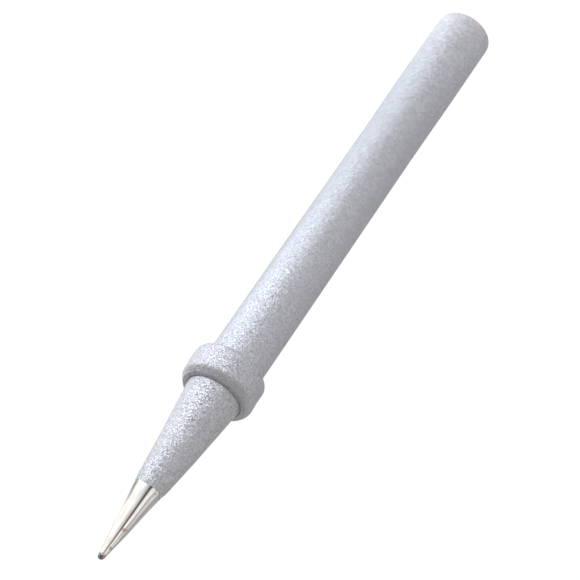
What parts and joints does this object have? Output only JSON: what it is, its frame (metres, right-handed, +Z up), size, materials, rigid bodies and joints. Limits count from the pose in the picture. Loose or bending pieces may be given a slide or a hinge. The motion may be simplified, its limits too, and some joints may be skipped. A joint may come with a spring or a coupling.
{
  "type": "soldering iron tip",
  "caption": "One-piece turned soldering iron tip: long plain round shank, stop collar and a slim matt-coated cone that ends in a bright tinned point.",
  "frame": {"origin": "centre of the flat back end of the shank, on the surface that the tip stands on", "axes": "+Z up the axis of revolution, from the back end of the shank to the tinned point; X and Y are alike"},
  "size_m": [0.0072, 0.0072, 0.0702],
  "materials": {
    "matt_coat": "matt grey metallic coat with a fine sparkling grain over plated copper",
    "bright_solder": "bright tinned solder, wiped smooth"
  },
  "bodies": {
    "root": {"soldering_tip": "matt_coat"}
  },
  "joints": []
}
